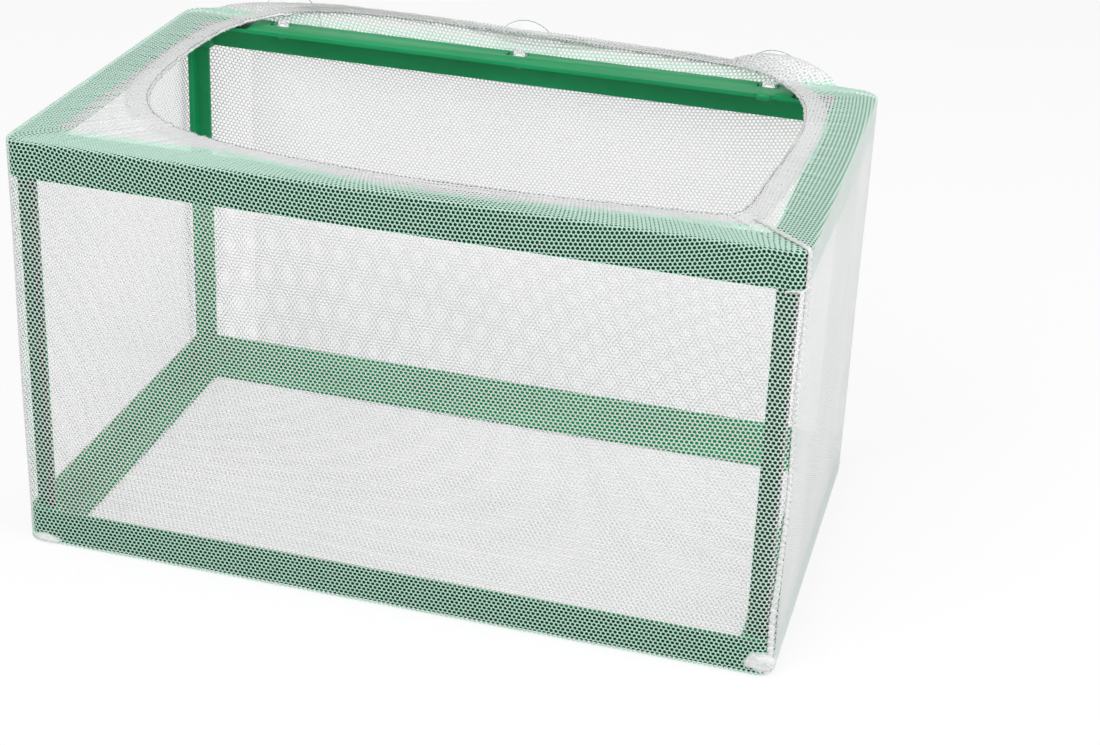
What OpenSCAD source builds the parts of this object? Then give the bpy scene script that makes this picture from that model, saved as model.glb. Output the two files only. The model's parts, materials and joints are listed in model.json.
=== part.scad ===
// Fish breeding box: a green plastic frame in a bag of white net, hung by suction cups.
// X runs along the box, Y from front to rear and Z up, all in millimetres. The origin is
// the middle of the base, on the underside of the bottom net.

/* [Box] */
// Length over the net
box_l = 265; // [220:1:320]
// Depth over the net, front to rear
box_w = 150; // [120:1:190]
// Height over the net, up to the top rails
box_h = 150; // [110:1:190]

/* [Frame rings] */
// Height of a ring's outer wall
rail_h = 12; // [10:0.5:16]
// Width of a ring's flange
flange_w = 13; // [12:0.5:16]
// Thickness of a ring's wall
wall_t = 1.6; // [1.2:0.1:2.2]
// Thickness of a ring's flange
flange_t = 1.5; // [1:0.1:2.2]
// Corner radius of a ring, in plan
corner_r = 5; // [4:0.5:8]
// Corner radius of the window inside a ring's flange
window_r = 2.5; // [1:0.5:6]
// Radius of the gate stub on the edge of the top ring's flange
stub_r = 1.4; // [1:0.1:2]
// Straight length of the gate stub
stub_l = 2.6; // [1:0.2:5]

/* [Posts] */
// Length of each leg of a post's angle section
post_leg = 6.5; // [5.5:0.5:7.5]
// Thickness of a post's legs
post_t = 1.6; // [1.2:0.1:2.2]
// Distance from a ring's outer face in to a post's outer face
post_inset = 2.8; // [2.8:0.1:4]
// Wall of the socket on a post's inner side
socket_t = 1.2; // [0.8:0.1:1.6]
// Clearance between a post and its socket, on each side
post_fit = 0.15; // [0.05:0.05:0.3]

/* [Suction cups] */
// Diameter of a cup's rim
cup_d = 24; // [20:1:30]
// Depth of a cup, from its back to its rim
cup_depth = 6.5; // [5:0.5:9]
// Thickness of a cup's wall
cup_t = 1.2; // [0.8:0.1:1.6]
// Distance from the box's ends in to the outer cups
cup_end = 39.5; // [32:0.5:60]
// Depth of a cup's axis below the top ring's flange
cup_drop = 2.2; // [2.1:0.1:3]
// Diameter of a cup's neck
neck_d = 3.6; // [3:0.1:3.8]
// Diameter of a cup's head
head_d = 7.6; // [6:0.2:9]
// Thickness of a cup's head
head_t = 3; // [2:0.2:4]
// Clearance of a cup in its notch, on each side
cup_fit = 0.2; // [0.1:0.05:0.3]
// Clearance between the rear net and a cup's back
cup_gap = 0.5; // [0.4:0.1:1]

/* [Net] */
// Thickness of the net
net_t = 0.6; // [0.4:0.1:1]
// Clearance between the net and the frame that it lies on
net_fit = 0.2; // [0.1:0.05:0.4]
// Clearance between neighbouring panels of net
panel_gap = 0.1; // [0.05:0.05:0.2]
// Distance between the gaps along a row
gap_pitch = 22; // [20:1:30]
// Width of the net between two gaps
strand_w = 8; // [5:0.5:10]
// Least plain width along the edge of a panel
panel_edge = 2; // [1.5:0.5:5]

/* [Mouth] */
// Distance from the box's ends in to the mouth
mouth_end = 20; // [17:0.5:30]
// Distance from the box's front in to the mouth
mouth_front = 14; // [11:0.5:25]
// Corner radius of the mouth at the front
mouth_front_r = 34; // [20:1:40]
// Corner radius of the mouth at the rear
mouth_rear_r = 30; // [20:1:40]
// Width of the hem round the mouth
hem_w = 7.5; // [6:0.5:10]
// Diameter of the elastic in the hem
elastic_d = 1.3; // [1:0.1:2]
// Clearance of the elastic in the hem
elastic_fit = 0.1; // [0.05:0.05:0.2]

/* [Seams] */
// Width of the seam at the front right corner
seam_w = 1.8; // [1:0.1:3]
// Height of that seam over the net
seam_t = 0.8; // [0.5:0.1:1.2]
// Height of the gathered tucks at the base
tuck_h = 9; // [6:0.5:12]
// Thickness of the tucks at their foot
tuck_t = 1.2; // [0.8:0.1:2]

/* [Hidden] */

// Distance from the outside of the net in to the frame
net_reach = net_t + net_fit;
frame_l = box_l - 2 * net_reach;
frame_w = box_w - 2 * net_reach;
frame_foot = net_reach;
frame_top = box_h - net_reach;

// The net's corners run round the frame's
net_r = corner_r + net_reach;
panel_l = box_l - 2 * net_r;
panel_w = box_w - 2 * net_r;
panel_top = box_h - net_t - panel_gap;

// Places of the cups along X, and where the parts of a cup lie along Y and Z
cup_places = [cup_end - box_l / 2, 0, box_l / 2 - cup_end];
cup_z = frame_top - cup_drop;
wall_in_y = frame_w / 2 - wall_t;
head_y = wall_in_y - cup_fit;
cup_back_y = box_w / 2 + cup_gap;
cup_r = cup_d / 2;

// The gaps are six-sided, in rows that stagger by half a pitch
gap_r = (gap_pitch - strand_w) / 2 / cos(30);
row_pitch = gap_pitch * cos(30);

// The hem is a folded band: two thin leaves that swell round the elastic
leaf_t = net_t;
elastic_bore = elastic_d / 2 + elastic_fit;
hem_edge_t = elastic_bore + leaf_t;
hem_z = frame_top + net_fit + hem_edge_t;
hem_end = mouth_end - hem_w;
hem_front = mouth_front - hem_w;
// The hem lies flat at the front, and stands upright at the rear to clear the cups' heads
hem_rise_from = -10;
hem_rise_to = box_w / 2 - 8;
hem_lift = max(0, head_d / 2 - cup_drop) + net_fit;

// Stations round a corner and along a side of the mouth
corner_steps = 10;
side_steps = 8;
elastic_sides = 8;

frame_green = [0.16, 0.62, 0.40];
net_white = [0.93, 0.95, 0.94];
clear_plastic = [0.80, 0.90, 0.88];

$fn = 48;

// Plan shapes

module rounded_rect(l, w, r) {
    square([l - 2 * r, w], center = true);
    square([l, w - 2 * r], center = true);
    for (x = [-1, 1], y = [-1, 1])
        translate([x * (l / 2 - r), y * (w / 2 - r)]) circle(r);
}

// An angle section whose outer corner is at the origin
module angle_section(leg, t) {
    square([leg, t]);
    square([t, leg]);
}

// Frame

// Puts its children at each corner of a ring, with X and Y pointing inwards
module at_ring_corner(right, rear) {
    mirror([right, 0, 0]) mirror([0, rear, 0])
        translate([-frame_l / 2, -frame_w / 2]) children();
}

module at_ring_corners() {
    for (right = [0, 1], rear = [0, 1]) at_ring_corner(right, rear) children();
}

module socket_block() {
    reach = post_inset + post_leg + post_fit + socket_t;
    depth = post_inset + post_t + post_fit + socket_t;
    linear_extrude(rail_h) intersection() {
        translate([frame_l / 2, frame_w / 2]) rounded_rect(frame_l, frame_w, corner_r);
        angle_section(reach, depth);
    }
}

module socket_slot() {
    start = post_inset - post_fit;
    translate([start, start, -1]) linear_extrude(rail_h - flange_t + 1)
        angle_section(post_leg + 2 * post_fit, post_t + 2 * post_fit);
}

// A ring with its wall's open edge at Z = 0 and its flange at the top
module ring() {
    difference() {
        union() {
            difference() {
                linear_extrude(rail_h) rounded_rect(frame_l, frame_w, corner_r);
                translate([0, 0, -1]) linear_extrude(rail_h - flange_t + 1)
                    rounded_rect(frame_l - 2 * wall_t, frame_w - 2 * wall_t, corner_r - wall_t);
                linear_extrude(rail_h + 1)
                    rounded_rect(frame_l - 2 * flange_w, frame_w - 2 * flange_w, window_r);
            }
            at_ring_corners() socket_block();
        }
        at_ring_corners() socket_slot();
    }
}

// A cup's neck drops into a notch in the rear wall, and its head into a slot in the flange
module cup_notch() {
    neck_r = neck_d / 2 + cup_fit;
    head_w = head_d + 2 * cup_fit;
    rotate([-90, 0, 0]) translate([0, 0, wall_in_y - 1]) {
        cylinder(h = wall_t + 2, r = neck_r);
        translate([-neck_r, -cup_drop - 1, 0]) cube([2 * neck_r, cup_drop + 1, wall_t + 2]);
    }
    translate([-head_w / 2, wall_in_y - head_t - 2 * cup_fit, -cup_drop])
        cube([head_w, head_t + 2 * cup_fit, 2 * cup_drop]);
}

// Where the moulding was cut from its sprue, a stub is left on the flange's inner edge
module gate_stub() {
    rotate([0, 90, 0]) cylinder(h = stub_l, r = stub_r, center = true);
    for (end = [-1, 1]) translate([end * stub_l / 2, 0, 0]) sphere(stub_r);
}

module top_ring() {
    color(frame_green) {
        difference() {
            translate([0, 0, frame_top - rail_h]) ring();
            for (x = cup_places) translate([x, 0, cup_z]) cup_notch();
        }
        translate([cup_places[2], frame_w / 2 - flange_w, frame_top - flange_t / 2]) gate_stub();
    }
}

module bottom_ring() {
    color(frame_green) translate([0, 0, frame_foot + rail_h]) mirror([0, 0, 1]) ring();
}

// Each post stands in the sockets of both rings
module post(right, rear) {
    foot = frame_foot + flange_t + post_fit;
    color(frame_green) at_ring_corner(right, rear)
        translate([post_inset, post_inset, foot])
            linear_extrude(frame_top - flange_t - post_fit - foot)
                angle_section(post_leg, post_t);
}

// Suction cups

// The part of a sphere within depth of its pole, which points along -Z from Z = 0
module cap(rim_r, depth) {
    sphere_r = (rim_r * rim_r + depth * depth) / (2 * depth);
    intersection() {
        translate([0, 0, sphere_r]) sphere(sphere_r);
        cylinder(h = depth, r = rim_r);
    }
}

module suction_cup(x) {
    head_r = head_d / 2;
    color(clear_plastic, 0.6) translate([x, 0, cup_z]) rotate([-90, 0, 0]) {
        difference() {
            union() {
                translate([0, 0, cup_back_y]) cap(cup_r, cup_depth);
                translate([0, 0, cup_back_y]) cylinder(h = cup_depth / 2, r = neck_d);
            }
            translate([0, 0, cup_back_y + 2 * cup_t]) cap(cup_r - cup_t, cup_depth - 2 * cup_t);
        }
        translate([0, 0, head_y - 0.5]) cylinder(h = cup_back_y - head_y + 1, r = neck_d / 2);
        translate([0, 0, head_y - head_t]) cap(head_r, head_t);
    }
}

// Net

// Even rows hold a gap each side of the middle, odd rows one on it
function gaps_in(w, h) = [
    for (row = [-ceil(h / row_pitch):ceil(h / row_pitch)], col = [-ceil(w / gap_pitch):ceil(w / gap_pitch)])
        let (
            x = (col + (row % 2 == 0 ? 0.5 : 0)) * gap_pitch,
            y = (row + 0.5) * row_pitch
        )
        if (abs(x) + gap_r * cos(30) <= w / 2 - panel_edge && abs(y) + gap_r <= h / 2 - panel_edge) [x, y]
];

// A flat net, centred on the origin. keep_clear lists places, each with a radius, without gaps
module net_panel(w, h, keep_clear = []) {
    linear_extrude(net_t) difference() {
        children();
        for (gap = gaps_in(w, h))
            if (min([for (k = keep_clear) norm(gap - [k[0], k[1]]) - k[2], gap_pitch]) > gap_r)
                translate(gap) rotate(30) circle(gap_r, $fn = 6);
    }
}

// Stands a panel up, with its outer face on -Y at the distance reach from the middle
module stand(reach) {
    translate([0, -reach, panel_top / 2]) rotate([90, 0, 0]) translate([0, 0, -net_t]) children();
}

module net_front() {
    color(net_white) stand(box_w / 2)
        net_panel(panel_l, panel_top) square([panel_l, panel_top], center = true);
}

// The cups' necks pass through the rear net
module net_rear() {
    neck_r = neck_d / 2 + cup_fit;
    neck_z = cup_z - panel_top / 2;
    necks = [for (x = cup_places) [x, neck_z, neck_r + panel_edge]];
    color(net_white) rotate(180) stand(box_w / 2)
        net_panel(panel_l, panel_top, necks) difference() {
            square([panel_l, panel_top], center = true);
            for (neck = necks) translate([neck[0], neck[1]]) circle(neck_r);
        }
}

module net_end(turn) {
    color(net_white) rotate(turn) stand(box_l / 2)
        net_panel(panel_w, panel_top) square([panel_w, panel_top], center = true);
}

module net_bottom() {
    l = box_l - 2 * (net_t + panel_gap);
    w = box_w - 2 * (net_t + panel_gap);
    color(net_white) net_panel(l, w) rounded_rect(l, w, net_r - net_t - panel_gap);
}

// The net turns each corner of the box as a quarter of a tube
module net_corner(right, rear) {
    color(net_white) mirror([right, 0, 0]) mirror([0, rear, 0])
        translate([net_r - box_l / 2, net_r - box_w / 2])
            rotate(180) rotate_extrude(angle = 90) translate([net_r - net_t, 0])
                square([net_t, panel_top]);
}

// Mouth

// A rounded rectangle as stations, each [x, y, inward x, inward y], from the rear right
// corner round by the left. Its rear lies at rear, its front at -front.
function corner_stations(x, y, r, from) = [
    for (i = [0:corner_steps])
        let (a = from + 90 * i / corner_steps)
        [x + r * cos(a), y + r * sin(a), -cos(a), -sin(a)]
];
function side_stations(a, b) = [
    for (i = [1:side_steps - 1]) a + (b - a) * i / side_steps
];
function with_sides(corners) = [
    for (k = [0:3])
        let (this = corners[k], next = corners[(k + 1) % 4])
        each concat(this, side_stations(this[corner_steps], next[0]))
];
function loop_stations(half_l, front, rear, front_r, rear_r) = with_sides([
    corner_stations(half_l - rear_r, rear - rear_r, rear_r, 0),
    corner_stations(rear_r - half_l, rear - rear_r, rear_r, 90),
    corner_stations(front_r - half_l, front_r - front, front_r, 180),
    corner_stations(half_l - front_r, front_r - front, front_r, 270)
]);

function smooth(t) = let (s = min(max(t, 0), 1)) s * s * (3 - 2 * s);
function tilt(y) = 90 * smooth((y - hem_rise_from) / (hem_rise_to - hem_rise_from));

function hem_height(s) = hem_z + hem_lift * sin(tilt(s[1]));

// The point u along the cloth and v out of it, from a station at height z
function on_cloth(s, z, u, v) = let (a = tilt(s[1]), run = u * cos(a) - v * sin(a))
    [s[0] + s[2] * run, s[1] + s[3] * run, z + u * sin(a) + v * cos(a)];

// A closed tube through rings of as many points each
module closed_sweep(rings) {
    n = len(rings);
    m = len(rings[0]);
    polyhedron(
        points = [for (r = rings) each r],
        faces = [for (i = [0:n - 1], j = [0:m - 1])
            let (a = i * m + j, b = i * m + (j + 1) % m,
                c = ((i + 1) % n) * m + (j + 1) % m, d = ((i + 1) % n) * m + j)
            each [[a, c, b], [a, d, c]]],
        convexity = 8
    );
}

hem_stations = loop_stations(box_l / 2 - hem_end, box_w / 2 - hem_front,
    (box_w - net_t) / 2, mouth_front_r + hem_w, mouth_rear_r + hem_w);
rim_stations = loop_stations(box_l / 2, box_w / 2, box_w / 2, net_r, net_r);

module net_collar() {
    half = net_t / 2;
    color(net_white) closed_sweep([
        for (i = [0:len(hem_stations) - 1])
            let (
                rim = rim_stations[i],
                hem = hem_stations[i],
                a = tilt(rim[1]),
                rim_z = box_h - net_t + half * cos(a),
                rim_u = half * sin(a)
            )
            [
                on_cloth(rim, rim_z, 0, -half) + [rim[2], rim[3], 0] * rim_u,
                on_cloth(hem, hem_height(hem), -panel_gap, -half),
                on_cloth(hem, hem_height(hem), -panel_gap, half),
                on_cloth(rim, rim_z, 0, half) + [rim[2], rim[3], 0] * rim_u
            ]
    ]);
}

// The hem's section, from its sewn edge to its fold and back
hem_section = [
    [0, -leaf_t], [hem_w / 2, -leaf_t], [hem_w - elastic_d, -hem_edge_t], [hem_w, -hem_edge_t],
    [hem_w, -elastic_bore], [hem_w - 2 * elastic_bore, -elastic_bore],
    [hem_w - 2 * elastic_bore, elastic_bore], [hem_w, elastic_bore],
    [hem_w, hem_edge_t], [hem_w - elastic_d, hem_edge_t], [hem_w / 2, leaf_t], [0, leaf_t]
];

module mouth_hem() {
    color(net_white) closed_sweep([
        for (s = hem_stations) [for (p = hem_section) on_cloth(s, hem_height(s), p[0], p[1])]
    ]);
}

module mouth_elastic() {
    r = elastic_d / 2;
    color("white") closed_sweep([
        for (s = hem_stations) [
            for (k = [0:elastic_sides - 1])
                let (a = 360 * k / elastic_sides)
                on_cloth(s, hem_height(s), hem_w - elastic_bore + r * cos(a), r * sin(a))
        ]
    ]);
}

// Seams

// A flat strip along a straight line between two points
module strip(from, to, w, t) {
    run = norm([to[0] - from[0], to[1] - from[1]]);
    translate([from[0], from[1], 0])
        rotate(atan2(to[1] - from[1], to[0] - from[0]))
            hull() {
                translate([0, -w / 2, from[2]]) cube([seam_t / 2, w, t]);
                translate([run - seam_t / 2, -w / 2, to[2]]) cube([seam_t / 2, w, t]);
            }
}

// The seam climbs the right side by the front corner and crosses the collar to the hem
module side_seam() {
    turn = len(rim_stations) - side_steps;
    rim = rim_stations[turn];
    hem = hem_stations[turn - corner_steps / 2];
    side_x = box_l / 2 + panel_gap;
    foot_z = tuck_h + net_fit;
    head_z = box_h + net_fit;
    color("white") {
        translate([side_x, rim[1], foot_z]) cube([seam_t, seam_w, head_z - foot_z + seam_t]);
        strip(
            [side_x + seam_t, rim[1] + seam_w / 2, head_z],
            [hem[0] - hem[2] * seam_w, hem[1] - hem[3] * seam_w, hem_z + net_t / 2 + net_fit],
            seam_w, seam_t
        );
    }
}

// Gathered net round each corner's foot, tapering upwards
module corner_tucks() {
    foot = net_r + panel_gap;
    color("white") for (right = [0, 1], rear = [0, 1])
        mirror([right, 0, 0]) mirror([0, rear, 0])
            translate([net_r - box_l / 2, net_r - box_w / 2])
                rotate(190) rotate_extrude(angle = 70)
                    polygon([[foot, 0], [foot + tuck_t, 0], [foot + tuck_t, tuck_h / 3],
                        [foot + tuck_t / 4, tuck_h], [foot, tuck_h]]);
}

top_ring();
bottom_ring();
post(0, 0);  // post_front_left
post(1, 0);  // post_front_right
post(0, 1);  // post_rear_left
post(1, 1);  // post_rear_right
suction_cup(cup_places[0]);  // suction_cup_left
suction_cup(cup_places[1]);  // suction_cup_middle
suction_cup(cup_places[2]);  // suction_cup_right
net_front();
net_rear();
net_end(-90);  // net_left
net_end(90);  // net_right
net_bottom();
net_corner(0, 0);  // net_corner_front_left
net_corner(1, 0);  // net_corner_front_right
net_corner(0, 1);  // net_corner_rear_left
net_corner(1, 1);  // net_corner_rear_right
net_collar();
mouth_hem();
mouth_elastic();
side_seam();
corner_tucks();
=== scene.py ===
import bpy
import bmesh
import json
import math
import numpy as np
from mathutils import Matrix, Vector, noise


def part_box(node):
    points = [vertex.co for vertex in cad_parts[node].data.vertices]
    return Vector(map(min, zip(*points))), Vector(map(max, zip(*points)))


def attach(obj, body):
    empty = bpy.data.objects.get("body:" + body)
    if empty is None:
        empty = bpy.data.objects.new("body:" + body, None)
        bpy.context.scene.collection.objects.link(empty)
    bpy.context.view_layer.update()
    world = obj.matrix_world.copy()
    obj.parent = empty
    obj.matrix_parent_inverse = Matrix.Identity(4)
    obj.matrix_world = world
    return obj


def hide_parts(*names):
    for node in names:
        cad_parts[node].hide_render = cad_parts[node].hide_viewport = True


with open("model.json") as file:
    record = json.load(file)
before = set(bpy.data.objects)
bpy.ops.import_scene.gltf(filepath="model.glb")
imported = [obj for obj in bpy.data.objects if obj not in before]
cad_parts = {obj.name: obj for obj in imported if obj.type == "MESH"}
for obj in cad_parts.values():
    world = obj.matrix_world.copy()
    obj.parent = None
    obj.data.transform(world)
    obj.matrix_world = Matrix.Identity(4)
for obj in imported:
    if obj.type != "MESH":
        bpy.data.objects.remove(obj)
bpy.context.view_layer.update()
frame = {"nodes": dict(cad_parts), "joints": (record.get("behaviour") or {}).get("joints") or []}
nodes = frame["nodes"]
mm = 0.001  # sizes in the dictionaries are millimetres

# The camera, fitted to the frame's edges
viewing = {
    "azimuth": 14.936,
    "elevation": 24.674,
    "roll": 2.199,
    "place": (207.06, -675.74, 412.35),
    "focalPixels": 2218.6,
    "centrePixel": (530, 285),
    "image": (1100, 745),
    "sensor": 36,
}


def makeCamera():
    az, el, roll = (math.radians(viewing[k]) for k in ("azimuth", "elevation", "roll"))
    back = Vector((math.sin(az) * math.cos(el), -math.cos(az) * math.cos(el), math.sin(el)))
    level = Vector((math.cos(az), math.sin(az), 0))
    lift = back.cross(level)
    right = level * math.cos(roll) + lift * math.sin(roll)
    up = lift * math.cos(roll) - level * math.sin(roll)
    data = bpy.data.cameras.new("viewCamera")
    wide, high = viewing["image"]
    data.sensor_width = viewing["sensor"]
    data.lens = viewing["focalPixels"] / wide * viewing["sensor"]
    data.shift_x = (wide / 2 - viewing["centrePixel"][0]) / wide
    data.shift_y = (viewing["centrePixel"][1] - high / 2) / wide
    data.clip_start, data.clip_end = 0.05, 20
    camera = bpy.data.objects.new("viewCamera", data)
    bpy.context.scene.collection.objects.link(camera)
    turned = Matrix((right, up, back)).transposed().to_4x4()
    camera.matrix_world = Matrix.Translation(Vector(viewing["place"]) * mm) @ turned
    bpy.context.scene.camera = camera


makeCamera()
print("camera placed")

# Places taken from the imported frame


def nodeBox(node):
    low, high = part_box(node)
    return np.array(low) / mm, np.array(high) / mm


collarLow, collarHigh = nodeBox("net_collar")
wallLow, wallHigh = nodeBox("net_front")
ringLow, ringHigh = nodeBox("bottom_ring")
postLow, postHigh = nodeBox("post_front_right")
netThick = wallHigh[1] - wallLow[1]
railHigh = ringHigh[2] - ringLow[2]

# Materials


def newMaterial(name):
    material = bpy.data.materials.new(name)
    material.use_nodes = True
    tree = material.node_tree
    return material, tree, tree.nodes["Principled BSDF"]


def addNode(tree, kind, **settings):
    node = tree.nodes.new(kind)
    for key, value in settings.items():
        if key in node.inputs:
            node.inputs[key].default_value = value
        else:
            setattr(node, key, value)
    return node


def noiseOn(tree, scale, detail=3, roughness=0.5, stretch=(1, 1, 1)):
    place = addNode(tree, "ShaderNodeTexCoord")
    mapping = addNode(tree, "ShaderNodeMapping", Scale=stretch)
    texture = addNode(tree, "ShaderNodeTexNoise", Scale=scale, Detail=detail, Roughness=roughness)
    tree.links.new(place.outputs["Object"], mapping.inputs["Vector"])
    tree.links.new(mapping.outputs["Vector"], texture.inputs["Vector"])
    return texture.outputs["Fac"]


def ramp(tree, source, stops):
    node = addNode(tree, "ShaderNodeValToRGB")
    while len(node.color_ramp.elements) < len(stops):
        node.color_ramp.elements.new(0.5)
    for element, (at, colour) in zip(node.color_ramp.elements, stops):
        element.position = at
        element.color = (*colour, 1)
    tree.links.new(source, node.inputs["Fac"])
    return node.outputs["Color"]


def spread(tree, source, low, high):
    node = addNode(tree, "ShaderNodeMapRange")
    node.inputs["To Min"].default_value = low
    node.inputs["To Max"].default_value = high
    tree.links.new(source, node.inputs["Value"])
    return node.outputs["Result"]


def bumpFrom(tree, shader, source, strength, distance):
    node = addNode(tree, "ShaderNodeBump", Strength=strength, Distance=distance)
    tree.links.new(source, node.inputs["Height"])
    tree.links.new(node.outputs["Normal"], shader.inputs["Normal"])


def blendBy(tree, attribute, colour, other):
    # from one colour to the other by a piece's own attribute
    share = addNode(tree, "ShaderNodeAttribute", attribute_name=attribute)
    mix = addNode(tree, "ShaderNodeMix", data_type="RGBA")
    first, second = [socket for socket in mix.inputs if socket.type == "RGBA"]
    second.default_value = (*other, 1)
    tree.links.new(share.outputs["Fac"], mix.inputs["Factor"])
    tree.links.new(colour, first)
    return next(socket for socket in mix.outputs if socket.type == "RGBA")


framePlastic = {
    "deep": (0.004, 0.235, 0.078),
    "plain": (0.006, 0.285, 0.098),
    "pale": (0.010, 0.335, 0.122),
    # painted shade: the colour of the plastic where the cloth lies over it
    "paintedShadeUnderNet": (0.002, 0.040, 0.016),
    "roughness": (0.24, 0.40),
    "gloss": 0.22,
}


def makeFramePlastic():
    material, tree, shader = newMaterial("greenMoulding")
    flow = noiseOn(tree, 38, 4, 0.55, (0.35, 1, 1))
    colour = ramp(tree, flow, [(0.3, framePlastic["deep"]), (0.52, framePlastic["plain"]),
                               (0.75, framePlastic["pale"])])
    # painted shade: a darker colour on the faces that the cloth covers
    colour = blendBy(tree, "paintedShadeUnderNet", colour, framePlastic["paintedShadeUnderNet"])
    tree.links.new(colour, shader.inputs["Base Color"])
    scuffs = noiseOn(tree, 420, 5, 0.6, (0.2, 1, 1))
    tree.links.new(spread(tree, scuffs, *framePlastic["roughness"]), shader.inputs["Roughness"])
    shader.inputs["Specular IOR Level"].default_value = framePlastic["gloss"]
    bumpFrom(tree, shader, noiseOn(tree, 160, 3, 0.5, (0.3, 1, 1)), 0.25, 0.0002)
    return material


# White threads, with painted light: where the green plastic lies close behind, a green tint in their colour
# stands in for its light coming through them
threadColour = {
    "shade": (0.78, 0.782, 0.79),
    "plain": (0.82, 0.822, 0.825),
    "bright": (0.86, 0.86, 0.86),
    "greenLitThread": (0.58, 0.90, 0.74),
    "alpha": 0.75,
}


def makeThread(name, alpha, sheen, lightness=1.0, glow=False):
    material, tree, shader = newMaterial(name)
    drift = noiseOn(tree, 30, 3, 0.6)
    stops = zip((0.3, 0.5, 0.75), (threadColour[shade] for shade in ("shade", "plain", "bright")))
    colour = ramp(tree, drift, [(at, tuple(part * lightness for part in shade)) for at, shade in stops])
    if glow:
        # painted light: the green tint where plastic lies close behind the cloth
        colour = blendBy(tree, "paintedGreenLight", colour, threadColour["greenLitThread"])
    tree.links.new(colour, shader.inputs["Base Color"])
    shader.inputs["Roughness"].default_value = 0.55
    shader.inputs["Sheen Weight"].default_value = sheen
    shader.inputs["Sheen Roughness"].default_value = 0.4
    shader.inputs["Alpha"].default_value = alpha
    bumpFrom(tree, shader, noiseOn(tree, 5200, 2, 0.5), 0.3, 0.00012)
    return material


def makeStitchThread():
    # stitching thread whose dark grey is painted shade: it stands in for the elastic's shadow along the hem
    # and the shade in the gaps by the seam
    material, tree, shader = newMaterial("darkStitchingAsShade")
    twist = noiseOn(tree, 1900, 3, 0.6)
    colour = ramp(tree, twist, [(0.35, (0.16, 0.16, 0.165)), (0.65, (0.30, 0.30, 0.30))])
    tree.links.new(colour, shader.inputs["Base Color"])
    shader.inputs["Roughness"].default_value = 0.7
    bumpFrom(tree, shader, noiseOn(tree, 4200, 2), 0.4, 0.0001)
    return material


def makeElastic():
    material, tree, shader = newMaterial("whiteElastic")
    weave = noiseOn(tree, 900, 3, 0.5)
    colour = ramp(tree, weave, [(0.3, (0.76, 0.76, 0.74)), (0.7, (0.88, 0.88, 0.86))])
    tree.links.new(colour, shader.inputs["Base Color"])
    shader.inputs["Roughness"].default_value = 0.6
    bumpFrom(tree, shader, noiseOn(tree, 3000, 2), 0.4, 0.0002)
    return material


def makeVinyl():
    material, tree, shader = newMaterial("clearVinyl")
    shader.inputs["Base Color"].default_value = (0.97, 0.985, 0.98, 1)
    shader.inputs["Transmission Weight"].default_value = 0.95
    shader.inputs["IOR"].default_value = 1.2
    tree.links.new(spread(tree, noiseOn(tree, 260, 4), 0.08, 0.2), shader.inputs["Roughness"])
    bumpFrom(tree, shader, noiseOn(tree, 300, 2), 0.15, 0.0002)
    return material


greenMoulding = makeFramePlastic()
netThread = makeThread("netThread", threadColour["alpha"], 0.2, glow=True)
seamThread = makeThread("seamThread", 1.0, 0.1, lightness=0.80)
darkStitchingAsShade = makeStitchThread()
whiteElastic = makeElastic()
clearVinyl = makeVinyl()
print("materials made")


def addPiece(name, mesh, material, body, replaced=()):
    mesh.name = name
    mesh.materials.clear()
    mesh.materials.append(material)
    obj = bpy.data.objects.new(name, mesh)
    bpy.context.scene.collection.objects.link(obj)
    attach(obj, body)
    if replaced:
        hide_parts(*replaced)
    return obj


def toMesh(bm, name):
    mesh = bpy.data.meshes.new(name)
    bm.to_mesh(mesh)
    bm.free()
    return mesh


# The frame: the imported solids with their moulded edges eased, and a painted shade where the cloth covers
# them

moulding = {"edge": 0.35, "segments": 2, "sharp": 30, "topBand": 3, "footBand": 1}
bareRail = {"front": 56.0, "side": 103.0}  # the mouth bares the rear flange inside these


def paintedShadeUnderCloth(face):
    # painted shade: the outer faces lie close under the cloth, and a darker colour on them stands in for
    # the shadow the cloth casts, which keeps the light off them
    at, out = face.calc_center_median() / mm, face.normal
    for axis in (0, 1):
        if abs(at[axis]) > postLow[axis] and out[axis] * math.copysign(1, at[axis]) > 0.5:
            return True
    bare = at.y > bareRail["front"] and abs(at.x) < bareRail["side"]
    top = out.z > 0.5 and at.z > wallHigh[2] - moulding["topBand"] and not bare
    return top or (out.z < -0.5 and at.z < ringLow[2] + moulding["footBand"])


def easedMoulding(node, name):
    bm = bmesh.new()
    bm.from_mesh(nodes[node].data)
    bmesh.ops.remove_doubles(bm, verts=bm.verts, dist=1e-6)
    bmesh.ops.dissolve_limit(bm, angle_limit=math.radians(0.5), verts=bm.verts, edges=bm.edges)
    sharp = [e for e in bm.edges if len(e.link_faces) == 2
             and e.calc_face_angle(0) > math.radians(moulding["sharp"])]
    bmesh.ops.bevel(bm, geom=sharp, affect="EDGES", offset=moulding["edge"] * mm, offset_type="OFFSET",
                    segments=moulding["segments"], profile=0.5, material=-1, clamp_overlap=True)
    for at, facing in (((0, bareRail["front"], 0), (0, 1, 0)), ((bareRail["side"], 0, 0), (1, 0, 0)),
                       ((-bareRail["side"], 0, 0), (1, 0, 0))):
        bmesh.ops.bisect_plane(bm, geom=bm.verts[:] + bm.edges[:] + bm.faces[:], dist=1e-7,
                               plane_co=Vector(at) * mm, plane_no=facing)
    bm.normal_update()
    # painted shade on the faces under the cloth
    shadedFaces = [float(paintedShadeUnderCloth(face)) for face in bm.faces]
    mesh = toMesh(bm, name)
    mesh.attributes.new("paintedShadeUnderNet", "FLOAT", "FACE").data.foreach_set("value", shadedFaces)
    mesh.set_sharp_from_angle(angle=math.radians(moulding["sharp"]))
    return addPiece(name, mesh, greenMoulding, "box", [node])


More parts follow.
